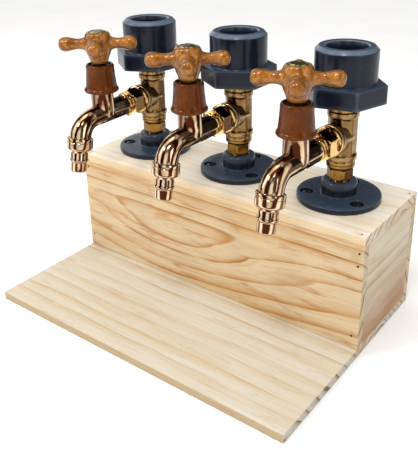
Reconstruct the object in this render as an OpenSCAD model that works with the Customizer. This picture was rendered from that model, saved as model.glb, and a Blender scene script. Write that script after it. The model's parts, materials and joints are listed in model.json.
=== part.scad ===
// Wooden drinks stand with three valve taps on pipe fittings.
// Each station is a flanged post: a nipple, a tee, a socket that takes an
// upturned bottle neck, and a quarter-turn tap with a cross handle.
// Frame: millimetres, +X along the box, +Y to the back, +Z up, origin at the
// middle of the footprint, at the level of the worktop.

/* [Timber box] */
// Length of the box and of the tray board
box_l = 300; // [280:1:340]
// Depth of the box, front to back
box_d = 100; // [96:1:120]
// Height of the box with its top board
box_h = 108.5; // [100:0.5:130]
// Thickness of the front, back, end and bottom boards
board_t = 8; // [6:0.5:10]
// Thickness of the top board
top_t = 8.5; // [6:0.5:10]
// Depth of the tray board in front of the box
tray_d = 111; // [100:1:130]
// Thickness of the tray board
tray_t = 7.5; // [6:0.5:10]

/* [Stations] */
// Distance between neighbouring stations
pitch = 101.4; // [90:0.1:104]
// Sideways offset of the row of stations on the box
row_shift = -0.7; // [-2:0.1:2]
// Station axis behind the front face of the box
post_set = 52; // [48:0.5:56]
// Small turn of each tap as assembled, left to right, in degrees
tap_turn = [2.7, 0.7, -1.8];
// Direction of the nearest handle arm when closed, from the front, in degrees
handle_turn = [37, 38.5, 31];
// Turn of each socket's hexagon as screwed down, in degrees
socket_turn = [25, 29, 13];

/* [Flange] */
// Outside diameter of the flange
flange_d = 70; // [64:1:76]
// Thickness of the flange disc
flange_t = 5; // [4:0.5:6]
// Outside diameter of the hub
hub_d = 29.5; // [27:0.5:34]
// Height of the hub top above the box
hub_h = 17; // [15:0.5:18]
// Diameter of the screw circle
screw_pcd = 52.5; // [50:0.5:54]

/* [Pipe fittings] */
// Outside diameter of the male threads
thread_d = 16.6; // [16.2:0.1:17]
// Height of the branch axis above the box top
branch_h = 56; // [54:0.5:60]
// Centre to end of the tee
tee_arm = 20.5; // [19.5:0.5:22]
// Width across flats of the octagonal barrel
tee_af = 22.5; // [21.5:0.5:24]
// Outside diameter of the end beads
bead_d = 25.6; // [24.5:0.1:27]

/* [Bottle socket] */
// Hexagon of the socket, across corners
sock_ac = 67; // [62:1:70]
// Height of the hexagon
sock_hex_h = 15; // [12:0.5:17]
// Outside diameter of the cup
sock_d = 49.5; // [48:0.5:54]
// Bore for the bottle neck
sock_bore = 33; // [30:0.5:34]
// Height of the cup above the hexagon
sock_cup_h = 29; // [26:0.5:34]

/* [Tap] */
// Reach of the valve axis in front of the post
valve_r = 69.5; // [68:0.5:72]
// Outside diameter of the spout tube
spout_d = 18.6; // [17.6:0.2:19.4]
// Bend radius of the spout centre line
spout_bend = 17.5; // [16:0.5:20]
// Start of the bend in front of the post
bend_r = 83.2; // [82:0.2:86]
// Lean of the outlet from vertical, in degrees
lean = 12; // [6:1:15]

/* [Handle] */
// Across the tips of the arms
handle_span = 67; // [62:1:74]
// Diameter of the ball at the end of an arm
knob_d = 12.4; // [11:0.2:14]
// Height of the arms above the box top
arm_h = 118; // [116:0.5:121]

/* [Hidden] */
$fn = 96;

slip = 0.05;                       // radial play of a screwed joint
y_back = (box_d + tray_d) / 2;     // back face of the box
y_front = y_back - box_d;          // front face of the box
y_tray = y_front - tray_d;         // front edge of the tray
post_y = y_front + post_set;       // station axes
z_side = box_h - top_t;            // under the top board
z0 = box_h;                        // the flanges stand here
z_in = z0 + branch_h;              // branch and inlet axis
z_hub = z0 + hub_h;
z_tee0 = z_in - tee_arm;           // lower end of the tee
z_tee1 = z_in + tee_arm;           // upper end of the tee
z_sock = z_tee1 + 8;               // underside of the bottle socket
z_cup = z_sock + sock_hex_h;
z_rim = z_cup + sock_cup_h;
z_bore = z_cup + 5.4;              // foot of the bottle bore, above the seal's recess
z_seat = z_in - 2;                 // valve seat in the chamber
z_skirt = z0 + 76.1;               // lower lip of the skirt
z_neck = z0 + 100.4;               // top of the skirt
z_arm = z0 + arm_h;
thr = thread_d / 2;
spr = spout_d / 2;
knob_r = knob_d / 2;
arm_r = handle_span / 2 - knob_r;  // arm length to the ball centre
// brads: along the box, and up or across
front_brads = [[146, 93.5], [145.5, 82.5], [144, 18.5], [-145.5, 95], [-146, 20]];
back_brads = [[146, 90], [145, 22], [-146, 92], [-145, 18]];
top_brads = [[146, 98], [145, 9.5], [-145.5, 97], [-146, 10]];

// ---------- helpers ----------
module at_post(i) {
  translate([(i - 1) * pitch + row_shift, post_y, 0]) children();
}
module at_tap(i) {
  at_post(i) rotate([0, 0, tap_turn[i]]) children();
}
module at_valve(i) {
  at_tap(i) translate([0, -valve_r, 0]) children();
}
module tube(r1, r0, z1, z2) {
  translate([0, 0, z1]) difference() {
    cylinder(r = r1, h = z2 - z1);
    translate([0, 0, -1]) cylinder(r = r0, h = z2 - z1 + 2);
  }
}
module rod(r, z1, z2) {
  translate([0, 0, z1]) cylinder(r = r, h = z2 - z1);
}
// bar along the inlet axis, from a to b in front of the post
module fore(r, a, b) {
  translate([0, -a, z_in]) rotate([90, 0, 0]) cylinder(r = r, h = b - a);
}
// polygonal prism along the inlet axis
module fore_poly(af, n, a, b) {
  translate([0, -a, z_in]) rotate([90, 0, 0]) rotate([0, 0, 180 / n])
    cylinder(r = af / 2 / cos(180 / n), h = b - a, $fn = n);
}
// hexagon with turned corners, standing on z
module hex_bar(af, z1, z2, ch) {
  rc = af / 2 / cos(30);
  intersection() {
    translate([0, 0, z1]) cylinder(r = rc, h = z2 - z1, $fn = 6);
    rotate_extrude() polygon([[0, z1], [rc - ch, z1], [rc, z1 + ch * 0.6],
      [rc, z2 - ch * 0.6], [rc - ch, z2], [0, z2]]);
  }
}
// ---------- timber ----------
module brad_pin(l) {
  rotate_extrude($fn = 24) polygon([[0, -l], [0.65, -l + 1.2], [0.65, -1.3],
    [1, -1.1], [1, -0.35], [0, -0.35]]);
}
module brad_set(p, how) {
  for (q = p) {
    if (how == "front") translate([q[0], y_front, q[1]]) rotate([90, 0, 0]) children();
    if (how == "back") translate([q[0], y_back, q[1]]) rotate([-90, 0, 0]) children();
    if (how == "top") translate([q[0], y_front + q[1] - 5.5, z0]) children();
  }
}
module brad_pit() { translate([0, 0, -0.5]) cylinder(r = 1.1, h = 1, $fn = 24); }

module front_board() {
  color("#e2be84") difference() {
    translate([-box_l / 2, y_front, 0]) cube([box_l, board_t, z_side]);
    brad_set(front_brads, "front") brad_pit();
  }
}
module back_board() {
  color("#dcb980") difference() {
    translate([-box_l / 2, y_back - board_t, 0]) cube([box_l, board_t, z_side]);
    brad_set(back_brads, "back") brad_pit();
  }
}
module top_board() {
  color("#ead9b8") difference() {
    translate([-box_l / 2, y_front, z_side]) cube([box_l, box_d, top_t]);
    brad_set(top_brads, "top") brad_pit();
  }
}
module bottom_board() {
  color("#d9b985")
    translate([-box_l / 2, y_front + board_t, 0]) cube([box_l, box_d - 2 * board_t, board_t]);
}
module end_board(x) {
  color("#dfc18d")
    translate([x, y_front + board_t, board_t]) cube([board_t, box_d - 2 * board_t, z_side - board_t]);
}
module tray_board() {
  color("#eddcc0")
    translate([-box_l / 2, y_tray, 0]) cube([box_l, tray_d, tray_t]);
}
module brad_nails() {
  color("#2b2622") {
    brad_set(front_brads, "front") brad_pin(22);
    brad_set(back_brads, "back") brad_pin(22);
    brad_set(top_brads, "top") brad_pin(22);
  }
}

// ---------- flanged post ----------
module at_screws() {
  for (a = [-150, -30, 90]) rotate([0, 0, a]) translate([screw_pcd / 2, 0, 0]) children();
}
module flange(i) {
  color("#2c3a4a") at_post(i) difference() {
    rotate_extrude() polygon([[0, z0], [flange_d / 2 - 0.5, z0], [flange_d / 2, z0 + 0.5],
      [flange_d / 2, z0 + flange_t - 0.8], [flange_d / 2 - 0.8, z0 + flange_t],
      [hub_d / 2 + 0.6, z0 + flange_t], [hub_d / 2, z0 + flange_t + 0.6],
      [hub_d / 2, z_hub - 1.3], [hub_d / 2 - 1.3, z_hub], [0, z_hub]]);
    rod(thr + slip, z0 + 4, z_hub + 1);
    at_screws() { rod(2.6, z0 - 1, z0 + flange_t + 1); rod(5.5, z0 + 2, z0 + flange_t + 1); }
  }
}
module flange_screws() {
  color("#15161a") for (i = [0 : 2]) at_post(i) at_screws()
    difference() {
      rotate_extrude($fn = 48) polygon([[0, z0 - 12], [1.9, z0 - 9], [1.9, z0 + 2], [4.5, z0 + 2],
        [4.5, z0 + 2.8], [4, z0 + 3.8], [2.8, z0 + 4.5], [0, z0 + 4.8]]);
      for (a = [0, 90]) rotate([0, 0, a + 20]) translate([-2.2, -0.45, z0 + 3.4]) cube([4.4, 0.9, 2]);
    }
}
module lower_nipple(i) {
  color("#c79a45") at_post(i) union() {
    rod(thr, z0 + flange_t, z_hub + 2.5);
    rotate([0, 0, 10 + 17 * i]) hex_bar(19, z_hub + 2.5, z_tee0 - 8, 0.9);
    rotate_extrude() polygon([[0, z_tee0 - 8], [9.3, z_tee0 - 8], [9.3, z_tee0 - 7.2],
      [11, z_tee0 - 6.6], [11.7, z_tee0 - 5.8], [11.7, z_tee0 - 0.9], [11, z_tee0], [0, z_tee0]]);
    rod(thr, z_tee0 - 1, z_tee0 + 8);
    rod(7, z0 + 10, z_tee0);
  }
}
module bead_end(h) {
  // turned end of the tee, from its face at 0 inwards
  rotate_extrude() polygon([[0, 0], [bead_d / 2 - 0.9, 0], [bead_d / 2, 0.9], [bead_d / 2, h - 1.6],
    [tee_af / 2 - 0.8, h], [0, h]]);
}
module tee(i) {
  color("#a5814a") at_tap(i) difference() {
    union() {
      translate([0, 0, z_tee0 + 5]) rotate([0, 0, 22.5])
        cylinder(r = tee_af / 2 / cos(22.5), h = 2 * tee_arm - 10, $fn = 8);
      fore_poly(tee_af - 0.5, 8, 0, tee_arm - 5);
      translate([0, 0, z_tee0]) bead_end(6);
      translate([0, 0, z_tee1]) mirror([0, 0, 1]) bead_end(6);
      translate([0, -tee_arm, z_in]) rotate([-90, 0, 0]) bead_end(6);
    }
    rod(thr + slip, z_tee0 - 1, z_tee0 + 9);
    rod(6.2, z_tee0 + 8, z_tee1 - 8);
    rod(thr + slip, z_tee1 - 9, z_tee1 + 1);
    fore(5.6, 0, tee_arm);
    fore(thr + slip, tee_arm - 9.5, tee_arm + 1);
  }
}
module upper_nipple(i) {
  color("#c79a45") at_post(i) difference() {
    union() {
      rod(thr, z_tee1 - 8.5, z_tee1 + 1);
      rotate_extrude() polygon([[0, z_tee1], [11, z_tee1], [11.7, z_tee1 + 0.8],
        [11.7, z_sock - 0.6], [11.2, z_sock], [0, z_sock]]);
      rod(thr, z_sock - 1, z_sock + 10);
    }
    rod(5.2, z_tee1 - 10, z_sock + 12);
  }
}
module bottle_socket(i) {
  rc = sock_ac / 2;
  color("#2c3a4a") at_post(i) difference() {
    union() {
      rotate([0, 0, socket_turn[i]]) translate([0, 0, z_sock])
        cylinder(r = rc, h = sock_hex_h, $fn = 6);
      rotate_extrude() polygon([[0, z_cup - 1], [sock_d / 2 + 0.9, z_cup - 1], [sock_d / 2 + 0.9, z_cup + 0.2],
        [sock_d / 2, z_cup + 1.1], [sock_d / 2, z_rim - 3.2], [sock_d / 2 - 3.1, z_rim], [0, z_rim]]);
    }
    rod(thr + slip, z_sock - 1, z_sock + 10.5);
    rod(5.2, z_sock, z_sock + 20);
    rod(sock_bore / 2, z_bore, z_rim + 1);
    rod(sock_bore / 2 - 0.6, z_cup - 1, z_bore + 1);
    translate([0, 0, z_rim - 1]) cylinder(r1 = sock_bore / 2, r2 = sock_bore / 2 + 1.1, h = 1.1);
  }
}
module neck_seal(i) {
  color("#6f7a74") at_post(i) rotate_extrude()
    polygon([[8, z_cup - 1], [sock_bore / 2 - 0.6 - slip, z_cup - 1], [sock_bore / 2 - 0.6 - slip, z_cup + 3.8],
      [sock_bore / 2 - 1.6, z_cup + 4.8], [11.5, z_cup + 3], [8, z_cup + 2.2]]);
}

// ---------- tap ----------
module bend(r) {
  // quarter bend of the spout, from the level run down to the outlet
  translate([0, -bend_r, z_in - spout_bend]) rotate([180, -90, 0])
    rotate_extrude(angle = 90 - lean) translate([spout_bend, 0]) circle(r = r);
}
out_r = bend_r + spout_bend * cos(lean);
out_z = z_in - spout_bend * (1 - sin(lean));
module at_outlet() {
  // +Z runs out of the spout
  translate([0, -out_r, out_z]) rotate([180 - lean, 0, 0]) children();
}
module tap_body(i) {
  color("#dc9a72") at_tap(i) difference() {
    union() {
      fore(thr, tee_arm - 8.5, tee_arm + 1.2);
      // wrench hexagon with its round seat ring
      translate([0, -tee_arm - 1, z_in]) rotate([90, 0, 0]) {
        rotate_extrude() polygon([[0, 0], [12.4, 0], [13.1, 0.8], [13.1, 3.4], [12.2, 4.3], [0, 4.3]]);
        rotate([0, 0, 30]) hex_bar(22, 4, 16.5, 1);
      }
      // waisted neck with a bead, and the flat-sided shoulder
      fore(8.4, tee_arm + 15, valve_r);
      translate([0, -tee_arm - 19.5, z_in]) rotate([90, 0, 0])
        rotate_extrude() polygon([[0, 0], [8.4, 0], [9.3, 0.7], [9.3, 1.8], [8.4, 2.5], [0, 2.5]]);
      fore_poly(18.4, 8, tee_arm + 24, valve_r - 4);
      fore(spr, tee_arm + 33, bend_r);
      fore(spr - 1.2, tee_arm + 12, bend_r + 2.5);
      // valve chamber and the collar that carries the bonnet
      rod_v(9.8, z_in, z0 + 77.5);
      rod_v(11.6, z0 + 77, z0 + 82.5);
      bend(spr);
      at_outlet() cylinder(r = spr, h = 6);
      at_outlet() translate([0, 0, -2.5]) cylinder(r = spr - 1.2, h = 6);
    }
    fore(5, tee_arm - 10, valve_r - 15);
    // waterway under the seat
    translate([0, -50, z_in - 5]) rotate([90, 0, 0]) cylinder(r = 2.8, h = valve_r - 50);
    rod_v(3, z_in - 5, z_seat + 1);
    rod_v(8 + slip, z_seat, z0 + 84);
    fore(5.5, valve_r + 7, bend_r);
    bend(5.5);
    at_outlet() translate([0, 0, 0]) cylinder(r = 5.5, h = 8);
  }
}
module rod_v(r, z1, z2) { translate([0, -valve_r, 0]) rod(r, z1, z2); }

module inlet_gaskets() {
  color("#7c2f22") for (i = [0 : 2]) at_tap(i) difference() {
    fore(11.4, tee_arm, tee_arm + 1);
    fore(thr + slip, tee_arm - 1, tee_arm + 2);
  }
}
module spout_nut(i) {
  color("#dc9a72") at_tap(i) at_outlet() difference() {
    rotate_extrude() polygon([[0, 0], [10.1, 0], [11.2, 1], [11.2, 9.4], [10.3, 10.8], [0, 10.8]]);
    translate([0, 0, -1]) cylinder(r = spr + slip, h = 9);
    cylinder(r = 7.5, h = 12);
  }
}
module hose_nozzle(i) {
  color("#dc9a72") at_tap(i) at_outlet() difference() {
    rotate_extrude() polygon([[0, 6], [8.9, 6], [8.9, 8], [7.4, 8], [7.4, 18.3], [8.1, 18.9],
      [8.1, 20.7], [7.1, 21.5], [7.1, 29.4], [6.5, 30], [0, 30]]);
    translate([0, 0, 5]) cylinder(r = 5, h = 26);
  }
}
module valve_cartridge(i) {
  zc = z0 + 82.5;                    // shoulder on the chamber collar
  color("#b98f4a") at_valve(i) difference() {
    union() {
      rod(8, z_seat + 0.4, z_seat + 4);
      rod(7.5, z_seat + 3.9, z_seat + 13.5);
      rod(8, z_seat + 13.4, zc + 0.3);
      rotate([0, 0, 15]) hex_bar(19.5, zc, zc + 5, 0.8);
      rod(7.5, zc - 1, z_neck - 6);
      rod(9, z_neck - 6.5, z_neck - 1.6);
      rod(6.4, z_neck - 2, z_neck);
    }
    rod(6.3, z_seat - 1, z_seat + 10.5);
    rod(4 + slip, z_seat + 9, z_neck + 1);
    for (a = [0, 180]) rotate([0, 0, a]) translate([5, -2.5, z_seat + 7.4]) cube([4, 5, 3]);
  }
}
module sectors(r1, r0, a0, h) {
  for (a = [0, 180]) rotate([0, 0, a + a0]) translate([0, 0, -1])
    rotate_extrude(angle = 80) translate([r0, 0]) square([r1 - r0, h + 2]);
}
module cartridge_seals() {
  color("#1d1d1f") for (i = [0 : 2]) at_valve(i) tube(6.2, 3.4, z_seat, z_seat + 2.5);
}
module fixed_ceramic_discs() {
  color("#ece7dc") for (i = [0 : 2]) at_valve(i) translate([0, 0, z_seat + 2.5]) difference() {
    cylinder(r = 6.25, h = 2.6);
    sectors(4.6, 1.4, 5, 2.6);
  }
}
module rotating_disc(i) {
  color("#f2eee6") at_valve(i) translate([0, 0, z_seat + 5.15]) difference() {
    cylinder(r = 6.22, h = 2.55);
    sectors(4.6, 1.4, 95, 2.55);
  }
}
module spindle(i) {
  color("#c79a45") at_valve(i) difference() {
    union() {
      rod(5.6, z_seat + 7.7, z_seat + 10.2);
      rod(4, z_seat + 10.1, z_neck + 0.3);
      rotate([0, 0, handle_turn[i]]) translate([0, 0, z_neck + 0.2]) cylinder(r = 3.95, h = 8, $fn = 12);
    }
    rod(2, z_neck - 2, z_neck + 10);
  }
}
module bonnet_skirt(i) {
  color("#7a3f20") at_valve(i) rotate_extrude() polygon([
    [13.3, z_skirt], [14.4, z_skirt + 0.1], [15, z_skirt + 0.9], [15.1, z_skirt + 2], [14.7, z_skirt + 3.1],
    [13.9, z_skirt + 3.9], [13.5, z_skirt + 5.2], [12.9, z_skirt + 12], [12.3, z_neck - 3.6],
    [12, z_neck - 2], [11.2, z_neck - 0.7], [9.8, z_neck], [6.5, z_neck],
    [6.5, z_neck - 1.6], [10, z_neck - 1.6], [10.8, z_neck - 4], [11.5, z_skirt + 12], [12.3, z_skirt + 5], [12.6, z_skirt]]);
}

// ---------- handle ----------
hub_pts = [[7.5, z_arm - 16.8], [7.6, z_arm - 15.2], [8.5, z_arm - 12.4], [10.2, z_arm - 8.5],
  [11.6, z_arm - 4.4], [12.1, z_arm - 0.4], [11.8, z_arm + 3.2], [10.7, z_arm + 6.6], [9.4, z_arm + 9.2], [8.7, z_arm + 10]];
// distance from the hub axis, and radius of the arm there
arm_pts = [[9, 5.8], [11.5, 5.1], [15, 4.5], [arm_r - 8.2, 4.8], [arm_r - 4.4, 5.2], [arm_r, 4.6]];
module cross_handle(i) {
  color("#a4622d") at_valve(i) rotate([0, 0, handle_turn[i]]) difference() {
    union() {
      rotate_extrude() polygon(concat([[0, z_arm - 16.8]], hub_pts, [[0, z_arm + 10]]));
      for (a = [0 : 90 : 270]) rotate([0, 0, a]) translate([0, 0, z_arm]) rotate([90, 0, 0])
{
          rotate_extrude($fn = 48) polygon(concat([[0, 9]], [for (q = arm_pts) [q[1], q[0]]], [[0, arm_r]]));
          translate([0, 0, arm_r]) sphere(r = knob_r);
        }
    }
    translate([0, 0, z_arm - 18]) cylinder(r = 4, h = 8.8, $fn = 12);
    rod(2.4, z_arm - 10, z_arm + 4);
    rod(4.3, z_arm + 3, z_arm + 8.2);
    rod(7.05, z_arm + 7.6, z_arm + 12);
  }
}
module handle_screw(i) {
  color("#d8d8d8") at_valve(i) difference() {
    rotate_extrude($fn = 48) polygon([[0, z_neck], [1.95, z_neck + 0.6], [1.95, z_arm + 3], [3.7, z_arm + 3],
      [3.7, z_arm + 4.4], [2.6, z_arm + 5.4], [0, z_arm + 5.8]]);
    for (a = [0, 90]) rotate([0, 0, a]) translate([-2, -0.45, z_arm + 4.2]) cube([4, 0.9, 2]);
  }
}
module index_button(i) {
  color("#8c8657") at_valve(i) rotate_extrude() polygon([[0, z_arm + 7.6], [7, z_arm + 7.6], [7, z_arm + 10.1],
    [6.7, z_arm + 10.6], [5.6, z_arm + 10.9], [0, z_arm + 11.1]]);
}

front_board();
back_board();
top_board();
bottom_board();
end_board(-box_l / 2);  // left_end_board
end_board(box_l / 2 - board_t);  // right_end_board
tray_board();
brad_nails();
flange_screws();
inlet_gaskets();
fixed_ceramic_discs();
cartridge_seals();
flange(0);  // flange_left
flange(1);  // flange_middle
flange(2);  // flange_right
lower_nipple(0);  // lower_nipple_left
lower_nipple(1);  // lower_nipple_middle
lower_nipple(2);  // lower_nipple_right
tee(0);  // tee_left
tee(1);  // tee_middle
tee(2);  // tee_right
upper_nipple(0);  // upper_nipple_left
upper_nipple(1);  // upper_nipple_middle
upper_nipple(2);  // upper_nipple_right
bottle_socket(0);  // bottle_socket_left
bottle_socket(1);  // bottle_socket_middle
bottle_socket(2);  // bottle_socket_right
neck_seal(0);  // neck_seal_left
neck_seal(1);  // neck_seal_middle
neck_seal(2);  // neck_seal_right
tap_body(0);  // tap_body_left
tap_body(1);  // tap_body_middle
tap_body(2);  // tap_body_right
spout_nut(0);  // spout_nut_left
spout_nut(1);  // spout_nut_middle
spout_nut(2);  // spout_nut_right
hose_nozzle(0);  // hose_nozzle_left
hose_nozzle(1);  // hose_nozzle_middle
hose_nozzle(2);  // hose_nozzle_right
valve_cartridge(0);  // valve_cartridge_left
valve_cartridge(1);  // valve_cartridge_middle
valve_cartridge(2);  // valve_cartridge_right
bonnet_skirt(0);  // bonnet_skirt_left
bonnet_skirt(1);  // bonnet_skirt_middle
bonnet_skirt(2);  // bonnet_skirt_right
rotating_disc(0);  // rotating_disc_left
rotating_disc(1);  // rotating_disc_middle
rotating_disc(2);  // rotating_disc_right
spindle(0);  // spindle_left
spindle(1);  // spindle_middle
spindle(2);  // spindle_right
cross_handle(0);  // cross_handle_left
cross_handle(1);  // cross_handle_middle
cross_handle(2);  // cross_handle_right
handle_screw(0);  // handle_screw_left
handle_screw(1);  // handle_screw_middle
handle_screw(2);  // handle_screw_right
index_button(0);  // index_button_left
index_button(1);  // index_button_middle
index_button(2);  // index_button_right
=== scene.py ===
import json
import math

import bmesh
import bpy
import numpy as np
from mathutils import Matrix, Vector, noise


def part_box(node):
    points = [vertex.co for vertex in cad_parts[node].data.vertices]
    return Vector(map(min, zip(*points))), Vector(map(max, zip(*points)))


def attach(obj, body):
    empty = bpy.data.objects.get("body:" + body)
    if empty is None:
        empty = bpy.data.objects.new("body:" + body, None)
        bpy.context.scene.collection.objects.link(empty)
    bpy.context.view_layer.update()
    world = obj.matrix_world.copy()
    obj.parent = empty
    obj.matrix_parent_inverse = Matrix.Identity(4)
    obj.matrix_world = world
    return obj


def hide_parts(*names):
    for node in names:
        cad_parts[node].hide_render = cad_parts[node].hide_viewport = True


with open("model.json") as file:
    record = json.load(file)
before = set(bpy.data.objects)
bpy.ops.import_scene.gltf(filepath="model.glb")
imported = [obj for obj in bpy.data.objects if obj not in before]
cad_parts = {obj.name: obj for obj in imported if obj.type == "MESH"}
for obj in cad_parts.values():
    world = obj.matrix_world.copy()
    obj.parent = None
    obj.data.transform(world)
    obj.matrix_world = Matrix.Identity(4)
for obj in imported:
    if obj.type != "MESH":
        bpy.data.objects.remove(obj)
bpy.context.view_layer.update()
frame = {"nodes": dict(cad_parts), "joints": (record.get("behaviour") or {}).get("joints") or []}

SCENE = bpy.context.scene
MM = 0.001
SIDES = ("left", "middle", "right")
SEG = 96

# ---------------------------------------------------------------- positions
# Levels and reaches in millimetres; the frame gives where each station stands.
def mid(node):
    lo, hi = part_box(node)
    return (lo + hi) / 2


POST = [mid("flange_" + s) / MM for s in SIDES]
VALVE = [Vector(j["pos_m"]) / MM for j in frame["joints"]]
TURN, REACH = [], []
for p, v in zip(POST, VALVE):
    TURN.append(math.atan2(v.x - p.x, p.y - v.y))
    REACH.append(math.hypot(v.x - p.x, v.y - p.y))
HANDLE_TURN = [math.radians(a) for a in (37, 38.5, 31)]
SOCKET_TURN = [math.radians(a) for a in (25, 29, 13)]

Z0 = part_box("flange_left")[0].z / MM
Z_IN = Z0 + 56
Z_HUB = Z0 + 17
Z_TEE0, Z_TEE1 = Z_IN - 20.5, Z_IN + 20.5
Z_SOCK = Z_TEE1 + 8
Z_CUP = Z_SOCK + 15
Z_RIM = Z_CUP + 29
Z_SKIRT = Z0 + 76.1
Z_NECK = Z0 + 100.4
Z_ARM = VALVE[0].z
LEAN = math.radians(12)
BEND_R, BEND = 83.2, 17.5
OUT_R = BEND_R + BEND * math.cos(LEAN)
OUT_Z = Z_IN - BEND * (1 - math.sin(LEAN))


def T(x, y, z):
    return Matrix.Translation((x, y, z))


def R(a, axis):
    return Matrix.Rotation(a, 4, axis)


AT_POST = [T(p.x, p.y, 0) for p in POST]
AT_TAP = [AT_POST[i] @ R(TURN[i], "Z") for i in range(3)]
AT_FORE = [m @ T(0, 0, Z_IN) @ R(math.pi / 2, "X") for m in AT_TAP]
AT_VALVE = [AT_TAP[i] @ T(0, -REACH[i], 0) for i in range(3)]
AT_OUT = [m @ T(0, -OUT_R, OUT_Z) @ R(math.pi - LEAN, "X") for m in AT_TAP]
AT_HANDLE = [AT_VALVE[i] @ R(HANDLE_TURN[i], "Z") for i in range(3)]


# ---------------------------------------------------------------- mesh tools
def rounded(pts, closed=False, n=5):
    """Corners of a section with a third number are rounded to that radius."""
    out, count = [], len(pts)
    for i, p in enumerate(pts):
        f = p[2] if len(p) > 2 else 0
        if f <= 0 or (not closed and i in (0, count - 1)):
            out.append((p[0], p[1]))
            continue
        b = Vector(p[:2])
        a, c = Vector(pts[i - 1][:2]), Vector(pts[(i + 1) % count][:2])
        u, v = (a - b), (c - b)
        lu, lv = u.length, v.length
        u.normalize(), v.normalize()
        ang = u.angle(v)
        if ang > math.pi - 0.02 or ang < 0.02:
            out.append((p[0], p[1]))
            continue
        d = min(f / math.tan(ang / 2), 0.48 * lu, 0.48 * lv)
        cen = b + (u + v).normalized() * (d / math.cos(ang / 2))
        s, e = b + u * d - cen, b + v * d - cen
        sweep = math.atan2(s.x * e.y - s.y * e.x, s.dot(e))
        for k in range(n + 1):
            t = sweep * k / n
            out.append((cen.x + s.x * math.cos(t) - s.y * math.sin(t),
                        cen.y + s.x * math.sin(t) + s.y * math.cos(t)))
    return out


def ring(r, z, seg=SEG):
    if not callable(r) and r < 1e-6:
        return np.array([[0.0, 0.0, z]])
    th = np.arange(seg) / seg * 2 * math.pi
    rr = r(th) if callable(r) else np.full(seg, float(r))
    return np.stack([rr * np.cos(th), rr * np.sin(th), np.full(seg, float(z))], 1)


def skin(rings, closed=False):
    verts, start, faces = [], [], []
    for q in rings:
        start.append((len(verts), len(q)))
        verts.extend(q.tolist())
    pairs = list(zip(start[:-1], start[1:]))
    if closed:
        pairs.append((start[-1], start[0]))
    for (a, na), (b, nb) in pairs:
        n = max(na, nb)
        for k in range(n):
            j = (k + 1) % n
            if na == 1 and nb == 1:
                break
            if na == 1:
                faces.append((a, b + j, b + k))
            elif nb == 1:
                faces.append((a + k, a + j, b))
            else:
                faces.append((a + k, a + j, b + j, b + k))
    return verts, faces


def build(name, verts, faces, mat=None, m=None, smooth=32):
    """A mesh object in metres from millimetres, with outward normals."""
    me = bpy.data.meshes.new(name)
    me.from_pydata([tuple(v) for v in verts], [], faces)
    bm = bmesh.new()
    bm.from_mesh(me)
    bmesh.ops.remove_doubles(bm, verts=bm.verts, dist=1e-5)
    bmesh.ops.recalc_face_normals(bm, faces=bm.faces)
    bm.to_mesh(me)
    bm.free()
    scale = Matrix.Scale(MM, 4)
    me.transform(scale @ (m or Matrix.Identity(4)))
    ob = bpy.data.objects.new(name, me)
    SCENE.collection.objects.link(ob)
    if mat:
        me.materials.append(mat)
    shade(ob, smooth)
    return ob


def shade(ob, angle=32):
    ob.data.shade_smooth()
    ob.data.set_sharp_from_angle(angle=math.radians(angle))
    return ob


def turned(name, path, mat=None, m=None, seg=SEG, closed=False, smooth=32):
    v, f = skin([ring(r, z, seg) for r, z in path], closed)
    return build(name, v, f, mat, m, smooth)


def bake_modifiers(ob, angle=32):
    bpy.context.view_layer.update()
    dg = bpy.context.evaluated_depsgraph_get()
    me = bpy.data.meshes.new_from_object(ob.evaluated_get(dg))
    old = ob.data
    ob.modifiers.clear()
    ob.data = me
    bpy.data.meshes.remove(old)
    return shade(ob, angle)


def combine(ob, tools, op="DIFFERENCE", angle=32):
    for t in tools:
        md = ob.modifiers.new("b", "BOOLEAN")
        md.operation, md.solver, md.object = op, "EXACT", t
        bake_modifiers(ob, angle)
        me = t.data
        bpy.data.objects.remove(t)
        bpy.data.meshes.remove(me)
    bm = bmesh.new()
    bm.from_mesh(ob.data)
    bmesh.ops.remove_doubles(bm, verts=bm.verts, dist=2e-6)
    bmesh.ops.dissolve_degenerate(bm, dist=2e-6, edges=bm.edges)
    bm.to_mesh(ob.data)
    bm.free()
    while len(ob.data.materials) > 1:
        ob.data.materials.pop()
    for p in ob.data.polygons:
        p.material_index = 0
    return shade(ob, angle)


def joined(name, objs, mat):
    bm = bmesh.new()
    for o in objs:
        me = o.data
        bm.from_mesh(me)
        bpy.data.objects.remove(o)
        bpy.data.meshes.remove(me)
    me = bpy.data.meshes.new(name)
    bm.to_mesh(me)
    bm.free()
    me.materials.clear()
    me.materials.append(mat)
    ob = bpy.data.objects.new(name, me)
    SCENE.collection.objects.link(ob)
    return shade(ob)


def smin(a, b, k):
    h = np.clip(0.5 + 0.5 * (b - a) / k, 0, 1)
    return b * (1 - h) + a * h - k * h * (1 - h)


def flats(n, af, turn=0.0, cap=None, k=0.25):
    """Radius of a regular polygon of n flats, its corners rounded to the radius cap."""
    def f(th):
        w = 2 * math.pi / n
        d = (th - turn + w / 2) % w - w / 2
        r = af / 2 / np.cos(d)
        top = cap if cap is not None else af / 2 / math.cos(math.pi / n) - 0.18
        return smin(r, np.full_like(r, top), k)
    return f


def less(f, d):
    return lambda th: f(th) - d


def hexed(af, z1, z2, turn=0.0, ch=1.0):
    """Steps of a hexagon between z1 and z2, its ends turned off at the corners."""
    rc = af / 2 / math.cos(math.pi / 6)
    out = []
    for t, r in ((0.0, rc - ch), (0.06, rc - ch * 0.86), (0.35, rc - ch * 0.4), (0.7, rc - 0.12), (1.1, rc - 0.1)):
        out.append((flats(6, af, turn, r, 0.22), z1 + t))
    back = [(f, z2 - (z - z1)) for f, z in reversed(out)]
    step = [(flats(6, af, turn, rc - 0.1, 0.22), z1 + 1.1 + (z2 - z1 - 2.2) * k / 4) for k in range(1, 4)]
    return out + step + back


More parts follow.
